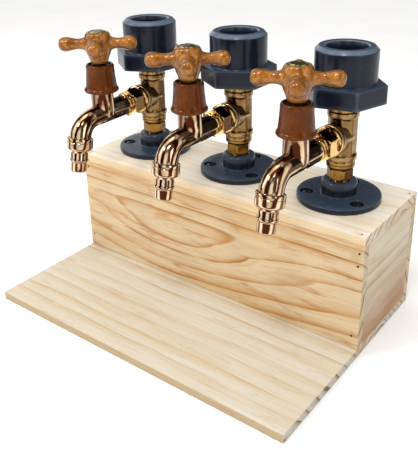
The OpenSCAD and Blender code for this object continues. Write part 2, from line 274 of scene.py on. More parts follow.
def threaded(r, z1, z2, pitch=1.34, depth=0.55, per=8):
    """Steps of a helical thread between two levels."""
    out = []
    n = int((z2 - z1) / pitch * per)
    for k in range(n + 1):
        z = z1 + (z2 - z1) * k / n
        fade = min(1, 1.2 * min(k, n - k) / per)
        out.append((lambda th, z=z, fade=fade: r - depth * fade * (1 - np.abs(2 * ((z / pitch - th / (2 * math.pi)) % 1) - 1)) ** 0.8, z))
    return out


# ---------------------------------------------------------------- material tools
def rgb(r, g, b):
    def lin(c):
        c /= 255
        return c / 12.92 if c <= 0.04045 else ((c + 0.055) / 1.055) ** 2.4
    return (lin(r), lin(g), lin(b), 1)


class Mat:
    def __init__(self, name):
        self.m = bpy.data.materials.new(name)
        self.m.use_nodes = True
        self.t = self.m.node_tree
        self.t.nodes.clear()
        self.out = self.t.nodes.new("ShaderNodeOutputMaterial")
        self.b = self.t.nodes.new("ShaderNodeBsdfPrincipled")
        self.t.links.new(self.b.outputs[0], self.out.inputs[0])
        tc = self.t.nodes.new("ShaderNodeTexCoord")
        self.local = tc.outputs["Object"]
        self.normal = tc.outputs["Normal"]
        self.p = self.vmath("SCALE", self.local, scale=1000)

    def put(self, sock, v):
        if isinstance(v, bpy.types.NodeSocket):
            self.t.links.new(v, sock)
        elif v is not None:
            sock.default_value = v

    def set(self, **kw):
        for k, v in kw.items():
            self.put(self.b.inputs[k.replace("_", " ")], v)
        return self

    def math(self, op, a, b=None, c=None, clamp=False):
        n = self.t.nodes.new("ShaderNodeMath")
        n.operation, n.use_clamp = op, clamp
        for s, v in zip(n.inputs, (a, b, c)):
            self.put(s, v)
        return n.outputs[0]

    def vmath(self, op, a, b=None, scale=None):
        n = self.t.nodes.new("ShaderNodeVectorMath")
        n.operation = op
        self.put(n.inputs[0], a)
        self.put(n.inputs[1], b)
        if scale is not None:
            self.put(n.inputs["Scale"], scale)
        return n.outputs["Value"] if op in ("LENGTH", "DOT_PRODUCT", "DISTANCE") else n.outputs["Vector"]

    def split(self, v):
        n = self.t.nodes.new("ShaderNodeSeparateXYZ")
        self.put(n.inputs[0], v)
        return n.outputs[0], n.outputs[1], n.outputs[2]

    def vec(self, x, y, z):
        n = self.t.nodes.new("ShaderNodeCombineXYZ")
        for s, v in zip(n.inputs, (x, y, z)):
            self.put(s, v)
        return n.outputs[0]

    def noise(self, vec, scale=1.0, detail=2.0, rough=0.5, distort=0.0, dim="3D", w=None, colour=False):
        n = self.t.nodes.new("ShaderNodeTexNoise")
        n.noise_dimensions = dim
        if dim == "1D":
            self.put(n.inputs["W"], w)
        else:
            self.put(n.inputs["Vector"], vec)
        self.put(n.inputs["Scale"], scale)
        self.put(n.inputs["Detail"], detail)
        self.put(n.inputs["Roughness"], rough)
        self.put(n.inputs["Distortion"], distort)
        return n.outputs["Color"] if colour else n.outputs[0]

    def voronoi(self, vec, scale=1.0, feature="F1"):
        n = self.t.nodes.new("ShaderNodeTexVoronoi")
        n.feature = feature
        self.put(n.inputs["Vector"], vec)
        self.put(n.inputs["Scale"], scale)
        return n.outputs["Distance"]

    def white(self, w):
        n = self.t.nodes.new("ShaderNodeTexWhiteNoise")
        n.noise_dimensions = "1D"
        self.put(n.inputs["W"], w)
        return n.outputs["Value"]

    def scaled(self, v, x, y, z):
        return self.vmath("MULTIPLY", v, (x, y, z))

    def ramp(self, fac, stops, interp="LINEAR"):
        n = self.t.nodes.new("ShaderNodeValToRGB")
        e = n.color_ramp.elements
        n.color_ramp.interpolation = interp
        while len(e) < len(stops):
            e.new(0.5)
        for el, (pos, col) in zip(e, stops):
            el.position = pos
            el.color = col if len(col) == 4 else (*col, 1)
        self.put(n.inputs[0], fac)
        return n.outputs[0]

    def curve(self, fac, stops, interp="LINEAR"):
        return self.ramp(fac, [(p, (v, v, v, 1)) for p, v in stops], interp)

    def mix(self, fac, a, b, blend="MIX"):
        n = self.t.nodes.new("ShaderNodeMix")
        n.data_type, n.blend_type = "RGBA", blend
        self.put(n.inputs[0], fac)
        self.put(n.inputs[6], a)
        self.put(n.inputs[7], b)
        return n.outputs[2]

    def range(self, v, a, b, c, d):
        n = self.t.nodes.new("ShaderNodeMapRange")
        for s, x in zip(n.inputs, (v, a, b, c, d)):
            self.put(s, x)
        return n.outputs[0]

    def bump(self, height, strength=0.3, distance=0.0001, normal=None):
        n = self.t.nodes.new("ShaderNodeBump")
        self.put(n.inputs["Strength"], strength)
        self.put(n.inputs["Distance"], distance)
        self.put(n.inputs["Height"], height)
        self.put(n.inputs["Normal"], normal)
        return n.outputs[0]

    def facing(self, normal=None):
        n = self.t.nodes.new("ShaderNodeLayerWeight")
        self.put(n.inputs["Blend"], 0.5)
        self.put(n.inputs["Normal"], normal)
        return n.outputs["Facing"]

    def edges(self, low=0.5, high=0.6):
        """Where the surface is convex: worn edges, and edges given a painted highlight."""
        n = self.t.nodes.new("ShaderNodeNewGeometry")
        return self.range(n.outputs["Pointiness"], low, high, 0.0, 1.0)


# ---------------------------------------------------------------- pine
def pine(name, order, early, late, g0, c0, bow, spacing, phase, depth, t0=0.0, sat=190.0,
         straight=True, contrast=1.0, warm=None, seed=0.0, wave=5.0, tone=(1, 1, 1), foot=None, painted_side_shade=None, fine_rings=1.0, smear=0.0):
    """Pine as a solid: rings about a bowed heart, latewood lines, fibres and resin ducts.
    order names the axes of the grain, the board's width and its thickness."""
    k = Mat(name)
    axes = dict(zip("XYZ", k.split(k.p)))
    g, c, t = (axes[a] for a in order)
    low = k.vec(k.math("MULTIPLY_ADD", g, 0.0065, seed), k.math("MULTIPLY", c, 0.022), k.math("MULTIPLY", t, 0.022))
    warp = k.math("MULTIPLY_ADD", k.noise(low, 1.0, 2.0, 0.5), wave * 2, -wave)
    fine = k.vec(k.math("MULTIPLY_ADD", g, 0.035, seed), k.math("MULTIPLY", c, 0.16), k.math("MULTIPLY", t, 0.16))
    warp2 = k.math("MULTIPLY_ADD", k.noise(fine, 1.0, 2.0, 0.5), 2.0, -1.0)
    cc = k.math("ADD", k.math("ADD", c, warp), warp2)
    dg = k.math("SUBTRACT", g, g0)
    d2 = k.math("MULTIPLY", k.math("MULTIPLY", dg, dg), bow)
    q = k.math("DIVIDE", dg, sat)
    d2 = k.math("DIVIDE", d2, k.math("MULTIPLY_ADD", q, q, 1.0))
    if straight:
        side = k.range(cc, c0 - 4, c0 + 16, 1.0, 0.0)
        d2 = k.math("MULTIPLY", d2, side)
    dc = k.math("SUBTRACT", cc, c0)
    rho = k.math("SQRT", k.math("MULTIPLY_ADD", dc, dc, k.math("ADD", d2, 3.0)))
    rho = k.math("ADD", rho, k.math("MULTIPLY", k.math("SUBTRACT", t, t0), depth))
    drift = k.math("MULTIPLY_ADD", k.noise(None, 0.055, 1.0, 0.5, dim="1D", w=rho), 0.9, -0.45)
    turns = k.math("ADD", k.math("MULTIPLY_ADD", rho, 1 / spacing, phase), drift)
    f = k.math("FRACT", turns)
    which = k.math("FLOOR", turns)
    strong = k.range(k.white(k.math("ADD", which, seed + 3.3)), 0.0, 1.0, 0.30, 1.0)
    band = k.curve(f, [(0.0, 0.0), (0.30, 0.02), (0.62, 0.16), (0.84, 0.52), (0.935, 1.0), (0.968, 0.75), (1.0, 0.0)])
    # fainter rings inside the wide ones
    f2 = k.math("FRACT", k.math("MULTIPLY_ADD", turns, 3.0, 0.37))
    band2 = k.curve(f2, [(0.0, 0.0), (0.5, 0.05), (0.88, 0.42), (0.95, 0.45), (1.0, 0.0)])
    patch = k.noise(k.vec(k.math("MULTIPLY_ADD", g, 0.011, seed + 7), k.math("MULTIPLY", c, 0.035), t), 1.0, 2.0, 0.5)
    fade = k.range(patch, 0.32, 0.62, 0.28, 1.0)
    if straight:
        # the heart of an arch is plain wood, so no closed eye shows
        fade = k.math("MULTIPLY", fade, k.range(rho, 5.0, 17.0, 0.12, 1.0))
    lines = k.math("MULTIPLY", k.math("MULTIPLY", band, strong), fade)
    lines = k.math("MAXIMUM", lines, k.math("MULTIPLY", band2, k.math("MULTIPLY_ADD", strong, -0.35 * fine_rings, 0.45 * fine_rings)))
    fib_v = k.vec(k.math("MULTIPLY", g, 0.018), k.math("MULTIPLY", c, 1.5), k.math("MULTIPLY", t, 1.5))
    fibre = k.noise(fib_v, 1.0, 4.0, 0.6)
    fib2_v = k.vec(k.math("MULTIPLY_ADD", g, 0.05, 4.0), k.math("MULTIPLY", c, 4.5), k.math("MULTIPLY", t, 4.5))
    fibre2 = k.noise(fib2_v, 1.0, 2.0, 0.5)
    amount = k.math("MULTIPLY", lines, contrast, clamp=True)
    mid_col = tuple(early[i] * 0.45 + late[i] * 0.55 for i in range(3)) + (1,)
    deep = tuple(late[i] * (0.80, 0.70, 0.60)[i] for i in range(3)) + (1,)
    col = k.ramp(amount, [(0.0, early), (0.38, mid_col), (0.80, late), (1.0, deep)])
    if warm:
        broad = k.noise(k.vec(k.math("MULTIPLY_ADD", g, 0.008, seed + 1), k.math("MULTIPLY", c, 0.05), k.math("MULTIPLY", t, 0.05)), 1.0, 3.0, 0.55)
        col = k.mix(k.range(broad, 0.44, 0.70, 0.0, 0.55), col, warm)
    if smear:
        # short orange smears lying along the grain
        sm = k.noise(k.vec(k.math("MULTIPLY_ADD", g, 0.022, seed + 5), k.math("MULTIPLY", cc, 0.15), k.math("MULTIPLY", t, 0.1)), 1.0, 3.0, 0.6, 0.3)
        col = k.mix(k.range(sm, 0.56, 0.72, 0.0, smear), col, rgb(196, 132, 62))
        col = k.mix(k.range(sm, 0.42, 0.28, 0.0, 0.6), col, rgb(238, 222, 196))
    if foot:
        # the wood darkens towards the foot of the board
        z0_, z1_, low_col = foot
        col = k.mix(k.math("MULTIPLY", k.range(axes["Z"], z1_, z0_, 0.0, 0.95), k.range(patch, 0.25, 0.6, 0.6, 1.0)), col, low_col)
    if painted_side_shade:
        # painted shade: faces turned along Y, the board's front and back faces, are darkened against the top as if
        # less lit
        col = k.mix(k.math("POWER", k.math("ABSOLUTE", k.split(k.normal)[1]), 4.0), col, k.mix(1.0, col, painted_side_shade, "MULTIPLY"))
    col = k.mix(1.0, col, k.ramp(fibre, [(0.25, (0.86, 0.78, 0.66)), (0.47, (0.985, 0.975, 0.955)), (0.75, (1.05, 1.06, 1.08))]), "MULTIPLY")
    col = k.mix(1.0, col, k.ramp(fibre2, [(0.25, (0.94, 0.91, 0.86)), (0.55, (1, 1, 1)), (0.8, (1.03, 1.03, 1.04))]), "MULTIPLY")
    # resin ducts: short dark dashes along the grain
    duct_v = k.vec(k.math("MULTIPLY_ADD", g, 0.11, seed), k.math("MULTIPLY", c, 1.9), k.math("MULTIPLY", t, 1.9))
    duct = k.range(k.noise(duct_v, 1.0, 1.0, 0.4), 0.70, 0.80, 0.0, 0.55)
    col = k.mix(duct, col, rgb(150, 98, 52))
    # sawn ends: greyer, the latewood standing out dark, fine pores
    na = dict(zip("XYZ", k.split(k.normal)))[order[0]]
    end = k.math("POWER", k.math("ABSOLUTE", na), 6.0)
    pore = k.noise(k.p, 2.2, 3.0, 0.6)
    raw = k.ramp(k.math("POWER", k.math("MAXIMUM", band, k.math("MULTIPLY", band2, 0.6)), 1.4),
                 [(0.0, rgb(214, 203, 186)), (0.35, rgb(188, 170, 146)), (0.8, rgb(118, 92, 66)), (1.0, rgb(84, 60, 40))])
    raw = k.mix(1.0, raw, k.curve(pore, [(0.3, 0.72), (0.5, 0.97), (0.75, 1.08)]), "MULTIPLY")
    col = k.mix(end, col, raw)
    # handled edges
    col = k.mix(k.math("MULTIPLY", k.edges(0.515, 0.58), 0.35), col, rgb(176, 134, 84))
    col = k.mix(1.0, col, (*tone, 1), "MULTIPLY")
    height = k.math("MULTIPLY_ADD", fibre, 0.5, k.math("MULTIPLY", lines, 0.5))
    height = k.math("MULTIPLY_ADD", pore, k.math("MULTIPLY", end, 0.6), height)
    rough = k.math("MULTIPLY_ADD", fibre2, 0.14, 0.46)
    rough = k.math("MULTIPLY_ADD", end, 0.2, rough)
    k.set(Base_Color=col, Roughness=rough, Normal=k.bump(height, 0.35, 0.00012))
    k.b.inputs["Specular IOR Level"].default_value = 0.35
    return k.m


# The front board: wide arches that open to the left, straight lines above them.
PINE_FRONT = pine("PineFront", "XZY", rgb(233, 214, 190), rgb(190, 127, 36), -40, 60, 0.1, 10.6, 0.45, 0.9,
                  t0=5.5, contrast=1.3, warm=rgb(211, 164, 102), seed=2.0, wave=3.2, tone=(0.79, 0.765, 0.65), smear=0.75)
PINE_BACK = pine("PineBack", "XZY", rgb(228, 206, 168), rgb(200, 148, 84), 30, 38, 0.08, 9.5, 0.2, -0.8,
                 t0=105, contrast=0.95, warm=rgb(212, 168, 108), seed=11.0, wave=3.5, tone=(0.80, 0.77, 0.70), smear=0.6)
PINE_TOP = pine("PineTop", "XYZ", rgb(240, 229, 208), rgb(222, 188, 140), -20, 70, 0.02, 10.0, 0.1, 1.1,
                t0=108, contrast=0.75, warm=rgb(228, 203, 164), seed=21.0, wave=4.0, tone=(0.96, 1.0, 1.08),
                painted_side_shade=(0.86, 0.74, 0.56, 1))
PINE_TRAY = pine("PineTray", "XYZ", rgb(236, 222, 198), rgb(217, 182, 130), 60, -190, 0.03, 15.0, 0.3, 1.0,
                 t0=7.5, contrast=0.95, warm=rgb(229, 203, 160), seed=33.0, wave=6.5, tone=(0.695, 0.745, 0.82), straight=False,
                 painted_side_shade=(0.78, 0.66, 0.48, 1), fine_rings=0.45, smear=0.22)
PINE_END = pine("PineEnd", "YZX", rgb(226, 212, 184), rgb(190, 146, 92), 40, 120, 0.05, 11.0, 0.55, 1.0,
                t0=150, contrast=0.95, warm=rgb(206, 172, 122), seed=45.0, wave=3.0, tone=(0.73, 0.80, 0.92),
                foot=(8, 84, rgb(168, 108, 34)), smear=0.55)
PINE_BASE = pine("PineBase", "XYZ", rgb(224, 204, 164), rgb(196, 148, 88), 10, 40, 0.03, 8.0, 0.6, 1.0,
                 t0=0, contrast=0.85, warm=rgb(205, 160, 100), seed=57.0, wave=4.0, tone=(0.78, 0.78, 0.82))


# ---------------------------------------------------------------- metals
def metal(name, dark, light, rough, spread, grain=None, bump=0.0, wear=None, wave=0.0, detail=3.0, painted_reflection=None, deep=None, groove=0.0, far=None):
    k = Mat(name)
    cloud = k.noise(k.p, 0.11, 3.0, 0.55)
    fine = k.noise(k.p, 1.3, detail, 0.6)
    col = k.mix(k.range(cloud, 0.3, 0.7, 0.0, 1.0), dark, light)
    if wear:
        col = k.mix(k.math("MULTIPLY", k.edges(0.515, 0.60), 0.7), col, wear)
    if far:
        # the seat and hexagon near the post are a yellower brass
        col = k.mix(k.range(k.split(k.p)[1], 5.0, 12.0, 0.0, 0.85), col, far)
    if painted_reflection:
        # painted reflection: by the angle the surface is seen at, the colour is pulled in bands towards the deep tone,
        # painting the dark and bright streaks of a reflected studio
        f = k.math("MULTIPLY_ADD", k.noise(k.p, 0.11, 2.0, 0.5), 0.10, k.math("ADD", k.facing(), -0.05))
        col = k.mix(k.curve(f, painted_reflection, "EASE"), col, deep)
    if groove:
        n = k.t.nodes.new("ShaderNodeNewGeometry")
        col = k.mix(k.range(n.outputs["Pointiness"], 0.49, 0.44, 0.0, groove), col, deep)
    r = k.math("ADD", k.range(fine, 0.3, 0.7, rough, rough + spread), k.range(cloud, 0.35, 0.7, 0.0, spread * 0.6))
    nrm = None
    if wave:
        nrm = k.bump(k.noise(k.p, 0.22, 1.0, 0.4), wave, 0.0012)
    if bump:
        nrm = k.bump(fine, bump, 0.00015, nrm)
    if grain:
        x, y, z = k.split(k.p)
        lay = {"Z": z, "Y": y, "X": x}[grain]
        turned_marks = k.noise(None, 6.0, 2.0, 0.6, dim="1D", w=lay)
        nrm = k.bump(turned_marks, 0.16, 0.00006, nrm)
        r = k.math("ADD", r, k.range(turned_marks, 0.3, 0.7, 0.0, 0.06))
    k.set(Base_Color=col, Roughness=r, Normal=nrm)
    k.b.inputs["Metallic"].default_value = 1.0
    return k.m


# painted reflection: bands of the viewing angle where the plating is darkened, for reflected dark and bright streaks
PAINTED_REFLECTION_STREAKS = [(0.0, 0.12), (0.05, 0.25), (0.075, 1.0), (0.14, 1.0), (0.18, 0.10), (0.27, 0.0), (0.34, 0.86), (0.48, 0.96), (0.55, 0.10), (0.68, 0.0), (0.78, 0.8), (1.0, 1.0)]
ROSE = metal("RoseGoldPlate", (0.78, 0.52, 0.30, 1), (0.94, 0.70, 0.48, 1), 0.03, 0.025, wave=0.12,
             wear=(1.0, 0.84, 0.62, 1), painted_reflection=PAINTED_REFLECTION_STREAKS, deep=(0.060, 0.016, 0.005, 1), groove=0.8, far=(0.95, 0.62, 0.22, 1))
BRASS = metal("TurnedBrass", (0.12, 0.052, 0.010, 1), (0.31, 0.158, 0.034, 1), 0.10, 0.08, grain="Z", bump=0.05,
              wear=(0.90, 0.62, 0.26, 1), painted_reflection=[(0.0, 0.0), (0.2, 0.15), (0.4, 0.75), (0.55, 0.3), (0.7, 0.1), (0.9, 0.8), (1.0, 0.9)],
              deep=(0.055, 0.018, 0.004, 1), groove=0.9)
CAST = metal("CastBrass", (0.24, 0.135, 0.050, 1), (0.42, 0.26, 0.105, 1), 0.18, 0.12, bump=0.26,
             wear=(0.92, 0.66, 0.34, 1), wave=0.16, detail=5.0, painted_reflection=[(0.0, 0.1), (0.2, 0.3), (0.4, 0.85), (0.55, 0.1), (0.75, 0.2), (1.0, 0.9)],
             deep=(0.045, 0.018, 0.005, 1), groove=0.85)
CARTRIDGE = metal("CartridgeBrass", (0.055, 0.032, 0.014, 1), (0.10, 0.058, 0.024, 1), 0.34, 0.12, bump=0.1)
GOLD_BUTTON = metal("IndexGold", (0.15, 0.145, 0.05, 1), (0.30, 0.27, 0.11, 1), 0.20, 0.08, bump=0.06,
                    wear=(0.52, 0.46, 0.24, 1))
STEEL = metal("BrightSteel", (0.55, 0.55, 0.56, 1), (0.72, 0.72, 0.73, 1), 0.22, 0.12, grain="Z", bump=0.08)
BRAD = metal("BradSteel", (0.018, 0.016, 0.015, 1), (0.06, 0.05, 0.045, 1), 0.38, 0.2, bump=0.4)


# ---------------------------------------------------------------- plastics and the rest
def pvc(name, grain=None):
    k = Mat(name)
    cloud = k.noise(k.p, 0.07, 3.0, 0.55)
    fine = k.noise(k.p, 2.4, 4.0, 0.6)
    col = k.mix(k.range(cloud, 0.3, 0.7, 0.0, 1.0), (0.0032, 0.0056, 0.0125, 1), (0.0065, 0.0112, 0.0225, 1))
    col = k.mix(k.range(fine, 0.62, 0.8, 0.0, 0.2), col, (0.04, 0.06, 0.09, 1))
    # convex edges are made paler: partly rubbed wear, partly a painted highlight on the chamfers
    col = k.mix(k.math("MULTIPLY", k.edges(0.512, 0.58), 0.6), col, (0.12, 0.155, 0.21, 1))
    # painted light: faces turned upwards are made paler than the sides, as where light falls from above
    painted_top_light = k.curve(k.split(k.normal)[2], [(0.0, 0.0), (0.25, 0.03), (0.5, 0.22), (0.68, 0.42), (0.82, 0.5), (0.97, 0.55), (1.0, 0.5)])
    col = k.mix(painted_top_light, col, (0.048, 0.075, 0.117, 1))
    # painted highlight: chamfers high on the socket, tilted part way up, are made paler as if catching the light
    painted_rim_highlight = k.curve(k.split(k.normal)[2], [(0.0, 0.0), (0.52, 0.0), (0.64, 0.9), (0.78, 0.9), (0.90, 0.0), (1.0, 0.0)])
    painted_rim_highlight = k.math("MULTIPLY", painted_rim_highlight, k.range(k.split(k.p)[2], Z_CUP + 6, Z_CUP + 12, 0.0, 1.0))
    col = k.mix(k.math("MULTIPLY", painted_rim_highlight, k.range(cloud, 0.3, 0.65, 0.6, 1.0)), col, (0.115, 0.15, 0.20, 1))
    rough = k.math("ADD", k.range(cloud, 0.3, 0.7, 0.19, 0.27), k.range(fine, 0.3, 0.7, 0.0, 0.06))
    nrm = k.bump(fine, 0.10, 0.0001)
    x, y, z = k.split(k.p)
    marks = k.noise(None, 2.2, 3.0, 0.6, dim="1D", w=z)
    nrm = k.bump(marks, 0.10, 0.0001, nrm)
    k.set(Base_Color=col, Roughness=rough, Normal=nrm)
    k.b.inputs["Specular IOR Level"].default_value = 0.22
    k.b.inputs["Coat Weight"].default_value = 0.12
    k.b.inputs["Coat Roughness"].default_value = 0.05
    return k.m


PVC = pvc("SlatePvc")


def burl(name, deep, mid_tone, pale, figure=1.0, rough=0.16, coat=0.6, spec=0.4, tint=(1, 0.8, 0.6, 1)):
    """A marbled moulding under a clear coat."""
    k = Mat(name)
    w = k.noise(k.p, 0.075, 2.0, 0.5, colour=True)
    bent = k.vmath("ADD", k.p, k.vmath("SCALE", w, scale=9.0))
    a = k.noise(bent, 0.13, 3.0, 0.5, 0.8)
    b = k.noise(bent, 0.42, 3.0, 0.55, 1.0)
    s = k.math("ADD", k.math("MULTIPLY", a, 0.70), k.math("MULTIPLY", b, 0.30))
    col = k.ramp(s, [(0.30, deep), (0.42, tuple((deep[i] + mid_tone[i]) / 2 for i in range(3))), (0.50, mid_tone), (0.62, pale), (0.8, pale)])
    flat = tuple((deep[i] + 3 * mid_tone[i]) / 4 for i in range(3)) + (1,)
    col = k.mix(figure, flat, col)
    veins = k.noise(bent, 0.55, 2.0, 0.5, 1.6)
    col = k.mix(k.curve(veins, [(0.46, 0.0), (0.49, 0.32 * figure), (0.51, 0.32 * figure), (0.54, 0.0)]), col, deep)
    fleck = k.noise(k.p, 2.6, 2.0, 0.5)
    col = k.mix(1.0, col, k.curve(fleck, [(0.3, 0.93), (0.5, 1.0), (0.72, 1.05)]), "MULTIPLY")
    col = k.mix(k.math("MULTIPLY", k.edges(0.52, 0.62), 0.3), col, pale)
    # painted shade: the colour is darkened where the surface is seen aslant, towards its outline
    col = k.mix(1.0, col, k.curve(k.facing(), [(0.0, 1.0), (0.2, 0.94), (0.45, 0.72), (0.75, 0.50), (1.0, 0.42)]), "MULTIPLY")
    nrm = k.bump(k.noise(k.p, 0.22, 2.0, 0.4), 0.06, 0.0009)
    nrm = k.bump(fleck, 0.03, 0.0001, nrm)
    k.set(Base_Color=col, Roughness=k.range(b, 0.3, 0.7, rough, rough + 0.10), Normal=nrm)
    k.b.inputs["Coat Weight"].default_value = coat
    k.b.inputs["Coat Roughness"].default_value = 0.03
    k.b.inputs["Specular IOR Level"].default_value = spec
    k.b.inputs["Specular Tint"].default_value = tint
    return k.m


BURL = burl("HandleBurl", (0.110, 0.029, 0.003, 1), (0.30, 0.106, 0.011, 1), (0.50, 0.205, 0.030, 1), 0.75, 0.12, 0.6, 0.26, (1, 0.75, 0.5, 1))
SKIRT = burl("SkirtBrown", (0.070, 0.016, 0.0012, 1), (0.108, 0.025, 0.0016, 1), (0.150, 0.040, 0.004, 1), 0.6, 0.2, 0.30, 0.12, (1, 0.5, 0.2, 1))


def simple(name, a, b, scale, rough, spread, bump=0.1, spec=0.5, coat=0.0):
    k = Mat(name)
    cloud = k.noise(k.p, scale, 4.0, 0.6)
    fine = k.noise(k.p, scale * 9, 3.0, 0.6)
    col = k.mix(k.range(cloud, 0.3, 0.7, 0.0, 1.0), a, b)
    col = k.mix(k.range(fine, 0.6, 0.8, 0.0, 0.3), col, b)
    k.set(Base_Color=col, Roughness=k.range(fine, 0.3, 0.7, rough, rough + spread), Normal=k.bump(fine, bump, 0.0001))
    k.b.inputs["Specular IOR Level"].default_value = spec
    k.b.inputs["Coat Weight"].default_value = coat
    k.b.inputs["Coat Roughness"].default_value = 0.08
    return k.m


BLACK_SCREW = simple("BlackScrew", (0.003, 0.003, 0.004, 1), (0.009, 0.009, 0.011, 1), 0.4, 0.10, 0.10, 0.1, 0.35, 0.5)
RUBBER = simple("SealRubber", (0.075, 0.095, 0.082, 1), (0.13, 0.155, 0.135, 1), 0.3, 0.55, 0.15, 0.2, 0.35)
BLACK_RUBBER = simple("BlackRubber", (0.012, 0.012, 0.012, 1), (0.03, 0.03, 0.03, 1), 0.3, 0.55, 0.2, 0.2, 0.4)
FIBRE = simple("GasketFibre", (0.18, 0.035, 0.02, 1), (0.34, 0.09, 0.05, 1), 0.8, 0.65, 0.2, 0.4, 0.3)
CERAMIC = simple("LappedCeramic", (0.74, 0.71, 0.64, 1), (0.86, 0.84, 0.78, 1), 0.3, 0.18, 0.1, 0.04, 0.6)


# ---------------------------------------------------------------- boards
def board(name, node, order, mat, pits=(), soft=0.5, seed=0.0):
    """A sawn board with eased, slightly uneven edges. order: grain, width, thickness."""
    lo, hi = (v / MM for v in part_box(node))
    ax = ["XYZ".index(a) for a in order]
    L, W, H = (hi[a] - lo[a] for a in ax)
    c = [(hi[a] + lo[a]) / 2 for a in ax]
    steps = [0, 0.10, 0.32, 0.6]
    n = max(8, int(L / 7))
    gs = steps + [0.6 + (L - 1.2) * k / n for k in range(1, n)] + [L - s for s in reversed(steps)]
    ins = [0.42, 0.18, 0.04, 0.0] + [0.0] * (n - 1) + [0.0, 0.04, 0.18, 0.42]
    rings = []
    for g, inset in zip(gs, ins):
        pts = []
        w, h = W / 2 - inset, H / 2 - inset
        for sx, sy, a0 in ((1, 1, 0), (-1, 1, 90), (-1, -1, 180), (1, -1, 270)):
            q = noise.noise(Vector((g * 0.045 + seed, sx * 5.0, sy * 5.0)))
            q += 0.5 * noise.noise(Vector((g * 0.21 + seed, sx * 5.0, sy * 9.0)))
            r = max(0.28, soft * (1 + 0.55 * q) - inset * 0.4)
            for k in range(6):
                a = math.radians(a0 + 18 * k)
                pts.append((sx * (w - r) + r * math.cos(a), sy * (h - r) + r * math.sin(a)))
        full = []
        for k, p in enumerate(pts):
            full.append(p)
            if k % 6 == 5:
                nx = pts[(k + 1) % len(pts)]
                d = math.hypot(nx[0] - p[0], nx[1] - p[1])
                m = max(1, int(round(d / 9))) if d > 12 else 1
                m = {True: max(1, int(W / 9)), False: 1}[abs(nx[0] - p[0]) > abs(nx[1] - p[1])]
                for j in range(1, m):
                    full.append((p[0] + (nx[0] - p[0]) * j / m, p[1] + (nx[1] - p[1]) * j / m))
        out = []
        for u, v in full:
            co = [0, 0, 0]
            co[ax[0]], co[ax[1]], co[ax[2]] = c[0] - L / 2 + g, c[1] + u, c[2] + v
            out.append(co)
        rings.append(np.array(out))
    verts, faces = skin(rings)
    m = len(rings[0])
    faces.append(tuple(range(m)))
    faces.append(tuple(range(len(verts) - m, len(verts))))
    ob = build(name, verts, faces, mat, smooth=40)
    tools = []
    for k, (x, y, z, axis) in enumerate(pits):
        turn = {"front": R(math.pi / 2, "X"), "back": R(-math.pi / 2, "X"), "top": Matrix.Identity(4)}[axis]
        tools.append(turned(f"pit{k}", [(0, -0.5), (0.9, -0.5), (1.04, -0.3), (1.1, 0.02), (1.3, 0.3), (0, 0.3)], None, T(x, y, z) @ turn, 20))
    if tools:
        combine(ob, tools, angle=40)
    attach(ob, "stand")
    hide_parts(node)
    return ob


YF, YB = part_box("front_board")[0].y / MM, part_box("back_board")[1].y / MM
FRONT = [(x, YF, z, "front") for x, z in ((146, 93.5), (145.5, 82.5), (144, 18.5), (-145.5, 95), (-146, 20))]
BACK = [(x, YB, z, "back") for x, z in ((146, 90), (145, 22), (-146, 92), (-145, 18))]
TOP = [(x, YF - 5.5 + y, Z0, "top") for x, y in ((146, 98), (145, 9.5), (-145.5, 97), (-146, 10))]
board("FrontBoard", "front_board", "XZY", PINE_FRONT, FRONT, seed=1)
board("BackBoard", "back_board", "XZY", PINE_BACK, BACK, seed=2)
board("TopBoard", "top_board", "XYZ", PINE_TOP, TOP, seed=3)
board("BottomBoard", "bottom_board", "XYZ", PINE_BASE, seed=4)
board("LeftEndBoard", "left_end_board", "YZX", PINE_END, seed=5)
board("RightEndBoard", "right_end_board", "YZX", PINE_END, seed=6)
board("TrayBoard", "tray_board", "XYZ", PINE_TRAY, soft=0.6, seed=7)


# ---------------------------------------------------------------- fittings on the stand
def done(ob, body, slot, *nodes):
    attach(ob, body)
    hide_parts(*nodes)
    return ob


